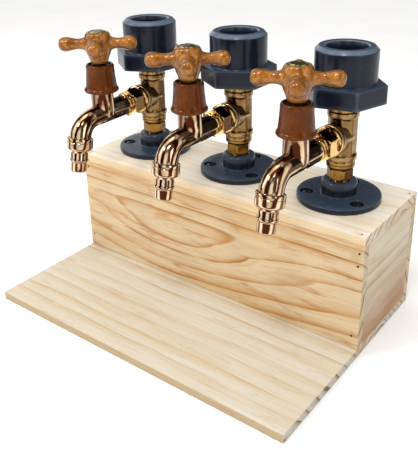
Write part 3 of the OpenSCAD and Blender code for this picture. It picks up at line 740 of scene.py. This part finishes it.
SCREWS = []
for i, s in enumerate(SIDES):
    P, TP, F, V, O, H = AT_POST[i], AT_TAP[i], AT_FORE[i], AT_VALVE[i], AT_OUT[i], AT_HANDLE[i]

    # floor flange with counterbored holes
    prof = [(0, Z0), (34.65, Z0), (34.9, Z0 + 0.1), (35, Z0 + 0.35), (35, Z0 + 2.2), (35, Z0 + 4.0), (34.9, Z0 + 4.5), (34.6, Z0 + 4.85), (34.1, Z0 + 5),
            (25, Z0 + 5), (16.0, Z0 + 5), (15.3, Z0 + 5.15), (14.9, Z0 + 5.5), (14.75, Z0 + 6.1), (14.75, Z0 + 10), (14.75, Z_HUB - 1.5), (14.6, Z_HUB - 1.15),
            (13.85, Z_HUB - 0.3), (13.4, Z_HUB), (9.3, Z_HUB), (8.9, Z_HUB - 0.15), (8.35, Z_HUB - 0.8), (8.35, Z0 + 4), (0, Z0 + 4)]
    flange = turned("Flange_" + s, prof, PVC, P, 128)
    holes = []
    for a in (-150, -30, 90):
        at = P @ R(math.radians(a), "Z") @ T(26.25, 0, 0)
        holes.append(turned("h", [(0, Z0 - 1), (2.6, Z0 - 1), (2.6, Z0 + 2), (5.45, Z0 + 2), (5.5, Z0 + 2.1), (5.5, Z0 + 4.55), (5.62, Z0 + 4.85), (5.95, Z0 + 5.12), (5.95, Z0 + 7), (0, Z0 + 7)], None, at, 56))
        # pan head with a cross recess
        head = turned("FlangeScrew", [(0, Z0 - 12), (1.0, Z0 - 10.4), (1.9, Z0 - 9), (1.9, Z0 + 2), (4.2, Z0 + 2), (4.45, Z0 + 2.15), (4.5, Z0 + 2.5), (4.45, Z0 + 2.95),
                                      (4.15, Z0 + 3.55), (3.5, Z0 + 4.1), (2.6, Z0 + 4.5), (1.4, Z0 + 4.74), (0, Z0 + 4.8)], BLACK_SCREW, at, 48)
        slots = []
        for t in (0, math.pi / 2):
            w, d = 0.46, 2.15
            vs = [(x * (d if z > 0 else 1.2), y * (w if z > 0 else 0.3), Z0 + (5.4 if z > 0 else 3.3)) for z in (0, 1) for x, y in ((-1, -1), (1, -1), (1, 1), (-1, 1))]
            fs = [(0, 1, 2, 3), (7, 6, 5, 4), (0, 4, 5, 1), (1, 5, 6, 2), (2, 6, 7, 3), (3, 7, 4, 0)]
            slots.append(build("x", vs, fs, None, at @ R(t + 0.35 + a, "Z")))
        SCREWS.append(combine(head, slots, angle=35))
    combine(flange, holes, angle=35)
    done(flange, "stand", "slate_pvc", "flange_" + s)

    # lower nipple: thread, hexagon, groove and collar
    a0 = math.radians(10 + 17 * i)
    zc = Z_TEE0 - 8
    low = [(0, Z0 + 5), (7.4, Z0 + 5), (8.1, Z0 + 5.6)] + threaded(8.3, Z0 + 6, Z_HUB + 2.3) + [(7.6, Z_HUB + 2.45)]
    low += hexed(19, Z_HUB + 2.5, zc - 0.1, a0, 0.9)
    low += [(9.25, zc), (9.2, zc + 0.75), (10.6, zc + 1.0), (11.3, zc + 1.45), (11.62, zc + 2.1), (11.7, zc + 2.7), (11.7, zc + 4.2), (11.45, zc + 4.45),
            (11.45, zc + 4.75), (11.7, zc + 5.0), (11.7, zc + 6.9), (11.45, zc + 7.6), (10.9, zc + 8), (8.3, zc + 8), (8.3, Z_TEE0 + 7.4), (7.6, Z_TEE0 + 8), (0, Z_TEE0 + 8)]
    done(turned("LowerNipple_" + s, low, BRASS, P, 144), "stand", "brass_machined", "lower_nipple_" + s)

    # upper nipple: collar with a groove, threads both ways, bored
    up = [(5.2, Z_TEE1 - 8.5), (7.6, Z_TEE1 - 8.5), (8.3, Z_TEE1 - 7.8), (8.3, Z_TEE1), (10.9, Z_TEE1), (11.5, Z_TEE1 + 0.3), (11.7, Z_TEE1 + 0.9), (11.7, Z_TEE1 + 3.0),
          (11.4, Z_TEE1 + 3.3), (11.4, Z_TEE1 + 3.6), (11.7, Z_TEE1 + 3.9), (11.7, Z_SOCK - 0.9), (11.5, Z_SOCK - 0.3), (11.1, Z_SOCK), (8.3, Z_SOCK), (8.3, Z_SOCK + 9.4), (7.7, Z_SOCK + 10), (5.2, Z_SOCK + 10)]
    done(turned("UpperNipple_" + s, up, BRASS, P, 112, closed=True), "stand", "brass_machined", "upper_nipple_" + s)

    # cast tee: octagonal barrel and branch between rounded beads
    def bead(z, d, r0=12.8, core=11.0):
        """Outer steps of an end bead from its face at z, inwards along d."""
        return [(11.5, z), (12.2, z + 0.12 * d), (12.62, z + 0.45 * d), (r0, z + 1.0 * d), (r0, z + 3.9 * d), (12.66, z + 4.4 * d), (12.25, z + 4.85 * d), (11.9, z + 5.3 * d)]
    octo = flats(8, 22.5, math.radians(22.5) + math.pi / 8, None, 0.3)
    body = [(0, Z_TEE0)] + bead(Z_TEE0, 1)
    body += [(less(octo, 0.0), Z_TEE0 + 6.2 + (29.6 - 1.0) * k / 6) for k in range(7)]
    body += list(reversed(bead(Z_TEE1, -1))) + [(0, Z_TEE1)]
    tee = turned("Tee_" + s, body, CAST, TP, 96, smooth=28)
    octb = flats(8, 22.0, math.pi / 8, None, 0.3)
    arm = [(0, 0)] + [(octb, 0.0), (octb, 7.0), (octb, 14.3)] + list(reversed(bead(20.5, -1))) + [(0, 20.5)]
    arm_o = turned("arm", arm, CAST, F, 96, smooth=28)
    combine(tee, [arm_o], "UNION", 28)
    bores = [turned("b1", [(0, Z_TEE0 - 1), (8.9, Z_TEE0 - 1), (8.35, Z_TEE0 + 0.5), (8.35, Z_TEE0 + 9), (6.2, Z_TEE0 + 9), (6.2, Z_TEE1 - 9), (8.35, Z_TEE1 - 9), (8.35, Z_TEE1 - 0.5), (8.9, Z_TEE1 + 1), (0, Z_TEE1 + 1)], None, TP, 64),
             turned("b2", [(0, 0.5), (5.6, 0.5), (5.6, 11), (8.35, 11), (8.35, 20.0), (8.9, 21.5), (0, 21.5)], None, F, 64)]
    combine(tee, bores, angle=28)
    done(tee, "stand", "brass_cast", "tee_" + s)

    # bottle socket: hexagon below, chamfered cup above
    hx = flats(6, 67 * math.cos(math.pi / 6), SOCKET_TURN[i] + math.pi / 6, 33.5 - 0.22, 0.35)
    path = [(8.35, Z_SOCK), (8.9, Z_SOCK - 0.0), (20, Z_SOCK), (less(hx, 0.9), Z_SOCK), (less(hx, 0.45), Z_SOCK + 0.06), (less(hx, 0.12), Z_SOCK + 0.28), (hx, Z_SOCK + 0.6)]
    path += [(hx, Z_SOCK + 15 * t) for t in (0.25, 0.5, 0.75)]
    path += [(hx, Z_CUP - 0.55), (less(hx, 0.10), Z_CUP - 0.26), (less(hx, 0.38), Z_CUP - 0.06), (less(hx, 0.75), Z_CUP), (27.5, Z_CUP), (25.75, Z_CUP), (25.2, Z_CUP + 0.12), (24.9, Z_CUP + 0.5), (24.75, Z_CUP + 1.2)]
    path += [(24.75, Z_CUP + t) for t in (6, 12, 18, 24)]
    path += [(24.75, Z_RIM - 3.6), (24.68, Z_RIM - 3.25), (24.45, Z_RIM - 2.9), (22.2, Z_RIM - 0.55), (21.8, Z_RIM - 0.2), (21.3, Z_RIM), (18.3, Z_RIM), (17.75, Z_RIM - 0.15), (16.75, Z_RIM - 1.0), (16.5, Z_RIM - 1.5)]
    path += [(16.5, Z_RIM - t) for t in (8, 15)] + [(16.5, Z_CUP + 5.55), (16.4, Z_CUP + 5.4), (15.9, Z_CUP + 5.4), (15.9, Z_CUP - 1), (5.2, Z_CUP - 1), (5.2, Z_SOCK + 10.5), (8.35, Z_SOCK + 10.5)]
    sock = turned("BottleSocket_" + s, path, PVC, P, 144, closed=True)
    done(sock, "stand", "slate_pvc", "bottle_socket_" + s)

    seal = rounded([(8, Z_CUP - 1), (15.85, Z_CUP - 1), (15.85, Z_CUP + 3.8, 0.4), (14.9, Z_CUP + 4.8, 0.5), (11.5, Z_CUP + 3, 1.2), (8, Z_CUP + 2.2, 0.5)], True)
    done(turned("NeckSeal_" + s, seal, RUBBER, P, 96, closed=True), "stand", "seal_rubber", "neck_seal_" + s)

    # ---- tap body: inlet spigot, seat ring, hexagon, waisted neck, flat-sided shoulder
    inlet = [(5.0, 12.0), (7.6, 12.0), (8.3, 12.7), (8.3, 21.5), (11.9, 21.5), (12.6, 21.65), (13.0, 22.05), (13.1, 22.6), (13.1, 24.4), (12.95, 24.9), (12.5, 25.25), (11.8, 25.5)]
    inlet += hexed(22, 25.6, 37.9, 0.0, 1.0)
    inlet += [(9.2, 38.05), (8.6, 38.5), (8.4, 39.2), (8.4, 39.8), (8.75, 40.0), (9.15, 40.45), (9.3, 41.1), (9.3, 41.7), (9.1, 42.2), (8.65, 42.5), (8.4, 42.8), (8.4, 43.9)]
    oct2 = flats(8, 18.4, math.pi / 8, None, 0.3)
    inlet += [(less(oct2, 0.7), 44.3), (less(oct2, 0.15), 44.7), (oct2, 45.3), (oct2, 52), (oct2, 60), (oct2, 65.5), (0, 65.5)]
    inlet = [(0, 12.0)] + inlet[1:]
    tap = turned("TapBody_" + s, inlet, ROSE, F, 96, smooth=30)
    # valve chamber with its collar
    zi = Z_IN
    cham = [(0, zi - 4.5), (6.5, zi - 4.5), (8.6, zi - 3.6), (9.6, zi - 2.0), (9.8, zi), (9.8, zi + 6), (9.8, Z0 + 76.4), (10.1, Z0 + 77), (11.2, Z0 + 77), (11.6, Z0 + 77.5), (11.6, Z0 + 82.1), (11.2, Z0 + 82.5), (0, Z0 + 82.5)]
    chamber = turned("chamber", cham, ROSE, V, 96, smooth=30)
    # spout: a tube that narrows a little through its bend
    rings, stops = [], []
    for k in range(9):
        stops.append((52 + (BEND_R - 52) * k / 9, Z_IN, math.pi / 2, k / 9 * 0.35))
    n = 22
    for k in range(n + 1):
        a = (math.pi / 2 - LEAN) * k / n
        stops.append((BEND_R + BEND * math.sin(a), Z_IN - BEND * (1 - math.cos(a)), math.pi / 2 - a, 0.35 + 0.5 * k / n))
    for k in range(1, 5):
        stops.append((OUT_R + 6 * math.sin(LEAN) * k / 4, OUT_Z - 6 * math.cos(LEAN) * k / 4, LEAN, 0.85 + 0.15 * k / 4))
    rings.append(None)
    for q, (r, z, a, t) in enumerate(stops):
        w = 0.85 * math.sin(math.pi * min(1, max(0, (t - 0.05) / 0.85))) ** 2
        rad = 9.3 - w
        fwd = Vector((0, -math.sin(a), -math.cos(a)))
        inner = Vector((0, math.cos(a), -math.sin(a)))
        cen = Vector((0, -r, z)) + inner * w * 0.9
        pts = []
        for j in range(72):
            th = 2 * math.pi * j / 72
            pts.append(cen + Vector((1, 0, 0)) * (rad * math.cos(th)) + inner * (rad * math.sin(th)))
        pts = np.array([tuple(p) for p in pts])
        if q == 0:
            rings[0] = np.array([tuple(cen)])
        rings.append(pts)
        last = cen
    rings.append(np.array([tuple(last)]))
    v, f = skin(rings)
    spout = build("spout", v, f, ROSE, TP, 30)
    combine(tap, [chamber, spout], "UNION", 30)
    way = [turned("w1", [(0, 11), (5, 11), (5, 54), (0, 54)], None, F, 48),
           turned("w2", [(0, Z_IN - 2), (8.05, Z_IN - 2), (8.05, Z0 + 84), (0, Z0 + 84)], None, V, 64)]
    rings = [np.array([(0, -(REACH[i] + 7), Z_IN)])]
    for q, (r, z, a, t) in enumerate(stops):
        if r < REACH[i] + 7:
            continue
        inner = Vector((0, math.cos(a), -math.sin(a)))
        w = 0.85 * math.sin(math.pi * min(1, max(0, (t - 0.05) / 0.85))) ** 2
        cen = Vector((0, -r, z)) + inner * w * 0.9
        rings.append(np.array([tuple(cen + Vector((1, 0, 0)) * (5.5 * math.cos(2 * math.pi * j / 40)) + inner * (5.5 * math.sin(2 * math.pi * j / 40))) for j in range(40)]))
    tip = Vector((0, -(OUT_R + 9 * math.sin(LEAN)), OUT_Z - 9 * math.cos(LEAN)))
    rings.append(rings[-1] + np.array([0, -3.0 * math.sin(LEAN), -3.0 * math.cos(LEAN)]))
    rings.append(np.array([tuple(tip)]))
    v, f = skin(rings)
    way.append(build("w3", v, f, None, TP))
    combine(tap, way, angle=30)
    done(tap, "stand", "rose_gold", "tap_body_" + s)

    # ring nut and stepped nozzle on the outlet
    nut = [(9.35, 0.0), (9.8, 0.0), (10.35, 0.12), (10.9, 0.5), (11.15, 1.1), (11.2, 1.8), (11.2, 3.2), (11.0, 3.5), (11.0, 3.75), (11.2, 4.05), (11.2, 8.6), (11.12, 9.4), (10.8, 10.1), (10.3, 10.6), (9.6, 10.8), (7.5, 10.8), (7.5, 8.05), (9.35, 8.05)]
    done(turned("SpoutNut_" + s, nut, ROSE, O, 112, closed=True), "stand", "rose_gold", "spout_nut_" + s)
    noz = [(5, 6), (8.9, 6), (8.9, 8), (7.4, 8), (7.4, 12.6), (7.28, 12.8), (7.28, 13.1), (7.4, 13.3), (7.4, 18.2), (7.55, 18.6), (7.95, 18.85), (8.1, 19.2), (8.1, 20.3), (7.95, 20.7), (7.45, 21.1), (7.15, 21.5), (7.1, 21.9),
           (7.1, 29.1), (6.95, 29.6), (6.5, 30), (5.5, 30), (5.15, 29.8), (5, 29.4)]
    done(turned("HoseNozzle_" + s, noz, ROSE, O, 112, closed=True), "stand", "rose_gold", "hose_nozzle_" + s)

    # skirt: rounded neck with a sunk floor, straight flank, rolled lip
    zs, zn = Z_SKIRT, Z_NECK
    sk = [(12.75, zs + 0.35), (13.3, zs + 0.02), (14.1, zs + 0.05), (14.75, zs + 0.45), (15.08, zs + 1.1), (15.1, zs + 1.9), (14.85, zs + 2.7), (14.3, zs + 3.35), (13.85, zs + 3.95), (13.62, zs + 4.7),
          (13.35, zs + 7), (13.05, zs + 10), (12.75, zs + 13), (12.5, zs + 16), (12.3, zs + 18.6), (12.22, zn - 3.8), (12.25, zn - 2.9), (12.2, zn - 1.9), (11.95, zn - 1.0), (11.45, zn - 0.3), (10.85, zn - 0.02), (10.2, zn - 0.15),
          (9.75, zn - 0.55), (9.5, zn - 1.1), (9.45, zn - 3.0), (10.2, zn - 4.4), (11.3, zs + 12), (12.1, zs + 5), (12.55, zs + 1.2)]
    done(turned("Skirt_" + s, sk, SKIRT, V, 128, closed=True), "stand", "skirt_brown", "bonnet_skirt_" + s)

    # ---- cross handle, moulded in one: hub and four arms run into each other
    za = Z_ARM
    hub = [(0, za - 16.7), (7.2, za - 16.7), (7.7, za - 15.6), (8.5, za - 12.6), (10.1, za - 8.8), (11.5, za - 4.6), (12.05, za - 0.4), (11.9, za + 3.0), (11.2, za + 6.0), (10.4, za + 8.4), (9.4, za + 9.7), (8.3, za + 10.05), (0, za + 10.05)]
    parts = [turned("hub", hub, None, H, 72)]
    arm = [(6.2, 0), (6.9, 8.5), (5.9, 11), (5.05, 13.2), (4.55, 15.8), (4.55, 18.2), (4.95, 20.6), (5.55, 22.8), (6.05, 25), (6.25, 27.2), (6.05, 29.4), (5.3, 31.2), (4.0, 32.6), (2.2, 33.35), (0, 33.6)]
    for a in range(4):
        at = H @ R(a * math.pi / 2, "Z") @ T(0, 0, za) @ R(math.pi / 2, "X")
        parts.append(turned("arm", [(0, 0)] + arm, None, at, 48))
    handle = joined("CrossHandle_" + s, parts, BURL)
    md = handle.modifiers.new("r", "REMESH")
    md.mode, md.voxel_size = "VOXEL", 0.00046
    md = handle.modifiers.new("s", "SMOOTH")
    md.factor, md.iterations = 0.5, 9
    bake_modifiers(handle, 60)
    tools = [turned("c1", [(0, za + 7.6), (7.05, za + 7.6), (7.05, za + 9.3), (7.3, za + 9.75), (8.0, za + 10.2), (8.0, za + 12), (0, za + 12)], None, H, 96),
             turned("c2", [(0, za - 18), (4.0, za - 18), (4.0, za - 9.2), (2.4, za - 9.2), (2.4, za + 3), (4.3, za + 3), (4.3, za + 8), (0, za + 8)], None, H, 48)]
    combine(handle, tools, angle=50)
    handle.data.materials.clear()
    handle.data.materials.append(BURL)
    done(handle, "handle_" + s, "handle_burl", "cross_handle_" + s)

    # index button: dished disc with a fine rim
    bt = [(0, za + 7.6), (6.7, za + 7.6), (7.0, za + 7.9), (7.0, za + 9.6), (6.9, za + 10.2), (6.6, za + 10.65), (6.15, za + 10.8), (5.75, za + 10.65), (5.55, za + 10.45), (5.2, za + 10.5), (3.5, za + 10.72), (1.8, za + 10.82), (0, za + 10.85)]
    done(turned("IndexButton_" + s, bt, GOLD_BUTTON, V, 96), "handle_" + s, "button_gold", "index_button_" + s)

done(joined("FlangeScrews", SCREWS, BLACK_SCREW), "stand", "screw_black", "flange_screws")

# ---------------------------------------------------------------- CAD nodes that stay
KEEP = {"brad_nails": BRAD, "inlet_gaskets": FIBRE, "fixed_ceramic_discs": CERAMIC, "cartridge_seals": BLACK_RUBBER}
for s in SIDES:
    KEEP.update({"valve_cartridge_" + s: CARTRIDGE, "rotating_disc_" + s: CERAMIC, "spindle_" + s: BRASS, "handle_screw_" + s: STEEL})
for n, mat in KEEP.items():
    o = frame["nodes"][n]
    if not o.material_slots:
        o.data.materials.append(mat)
    for sl in o.material_slots:
        sl.material = mat


# ---------------------------------------------------------------- stage
def area(name, loc, target, size, power, size_y=None, colour=(1, 1, 1)):
    ld = bpy.data.lights.new(name, "AREA")
    ld.energy, ld.size, ld.color = power, size, colour
    if size_y:
        ld.shape, ld.size_y = "RECTANGLE", size_y
    ob = bpy.data.objects.new(name, ld)
    ob.location = loc
    ob.rotation_euler = (Vector(target) - Vector(loc)).to_track_quat("-Z", "Y").to_euler()
    SCENE.collection.objects.link(ob)
    return ob


me = bpy.data.meshes.new("Floor")
me.from_pydata([(-9, -9, 0), (9, -9, 0), (9, 9, 0), (-9, 9, 0)], [], [(0, 1, 2, 3)])
floor = bpy.data.objects.new("Floor", me)
SCENE.collection.objects.link(floor)
k = Mat("FloorPaper")
k.set(Base_Color=k.mix(k.range(k.noise(k.p, 0.01, 3.0, 0.5), 0.3, 0.7, 0.0, 1.0), (0.90, 0.90, 0.90, 1), (0.93, 0.93, 0.93, 1)), Roughness=0.75)
k.b.inputs["Specular IOR Level"].default_value = 0.1
me.materials.append(k.m)
floor.location.z = -0.0002

area("TopSoft", (-0.25, -0.35, 1.15), (0, 0, 0.1), 1.1, 2.2, 0.9)
area("LeftSoft", (-1.1, -0.55, 0.75), (0, 0, 0.12), 0.5, 4.2, 0.9)
area("RightSoft", (1.15, -0.25, 0.55), (0, 0, 0.12), 0.35, 2.0, 0.9)
area("GlintA", (-0.36, -0.62, 0.98), (0, 0, 0.15), 0.20, 2.8)
area("GlintB", (0.20, -0.42, 1.10), (0, 0, 0.15), 0.20, 2.8)

world = bpy.data.worlds.new("Studio")
SCENE.world = world
world.use_nodes = True
wt = world.node_tree
wt.nodes.clear()
wo = wt.nodes.new("ShaderNodeOutputWorld")
bg_soft, bg_spec, wmix = wt.nodes.new("ShaderNodeBackground"), wt.nodes.new("ShaderNodeBackground"), wt.nodes.new("ShaderNodeMixShader")
bg_soft.inputs[0].default_value = (1.0, 0.99, 0.975, 1)
bg_soft.inputs[1].default_value = 0.95
lp = wt.nodes.new("ShaderNodeLightPath")
wt.links.new(lp.outputs["Is Glossy Ray"], wmix.inputs[0])
wt.links.new(bg_soft.outputs[0], wmix.inputs[1])
wt.links.new(bg_spec.outputs[0], wmix.inputs[2])
wt.links.new(wmix.outputs[0], wo.inputs[0])
wc = wt.nodes.new("ShaderNodeTexCoord")
sx = wt.nodes.new("ShaderNodeSeparateXYZ")
wt.links.new(wc.outputs["Generated"], sx.inputs[0])


def wmath(op, a, b=None):
    n = wt.nodes.new("ShaderNodeMath")
    n.operation = op
    for sck, v in zip(n.inputs, (a, b)):
        if isinstance(v, bpy.types.NodeSocket):
            wt.links.new(v, sck)
        elif v is not None:
            sck.default_value = v
    return n.outputs[0]


def wramp(fac, stops):
    n = wt.nodes.new("ShaderNodeValToRGB")
    e = n.color_ramp.elements
    while len(e) < len(stops):
        e.new(0.5)
    for el, (p, v) in zip(e, stops):
        el.position, el.color = p, (v, v * 0.985, v * 0.96, 1)
    wt.links.new(fac, n.inputs[0])
    return n.outputs[0]


# strip boxes round the set, dark between them, a bright ceiling
az = wmath("ADD", wmath("DIVIDE", wmath("ARCTAN2", sx.outputs[0], wmath("MULTIPLY", sx.outputs[1], -1)), 2 * math.pi), 0.5)
strips = wramp(az, [(0.0, 0.10), (0.10, 0.06), (0.14, 0.95), (0.20, 0.95), (0.235, 0.04), (0.33, 0.05), (0.36, 1.0), (0.43, 1.0), (0.455, 0.03), (0.515, 0.03), (0.54, 1.0), (0.60, 1.0), (0.63, 0.04), (0.70, 0.06), (0.74, 0.9), (0.83, 0.9), (0.87, 0.05), (1.0, 0.10)])
ceiling = wramp(sx.outputs[2], [(0.0, 0.20), (0.10, 0.06), (0.45, 0.03), (0.70, 0.05), (0.90, 0.10), (0.96, 0.7), (1.0, 0.9)])
wmx = wt.nodes.new("ShaderNodeMix")
wmx.data_type = "RGBA"
fac = wramp(sx.outputs[2], [(0.0, 0.0), (0.05, 0.75), (0.55, 0.75), (0.78, 0.0), (1.0, 0.0)])
wt.links.new(fac, wmx.inputs[0])
wt.links.new(ceiling, wmx.inputs[6])
wt.links.new(strips, wmx.inputs[7])
wt.links.new(wmx.outputs[2], bg_spec.inputs[0])
bg_spec.inputs[1].default_value = 1.5

# ---------------------------------------------------------------- camera
cam = bpy.data.cameras.new("Camera")
cam.lens, cam.sensor_width, cam.sensor_fit = 54.37, 36.0, "AUTO"
cam.shift_x, cam.shift_y = -0.020, -0.138
co = bpy.data.objects.new("Camera", cam)
az_, el_, roll_ = math.radians(37.015), math.radians(22.594), math.radians(-0.910)
fwd = Vector((-math.sin(az_) * math.cos(el_), math.cos(az_) * math.cos(el_), -math.sin(el_)))
right = fwd.cross(Vector((0, 0, 1))).normalized()
upv = right.cross(fwd)
c_, s_ = math.cos(roll_), math.sin(roll_)
rx, ux = c_ * right + s_ * upv, -s_ * right + c_ * upv
rot = Matrix((rx, ux, -fwd)).transposed().to_4x4()
co.matrix_world = T(0.32909, -0.41156, 0.354) @ rot
SCENE.collection.objects.link(co)
SCENE.camera = co
cam.clip_start, cam.clip_end = 0.01, 50
SCENE.view_settings.view_transform = "Standard"
SCENE.view_settings.look = "None"
SCENE.view_settings.exposure = 0.0
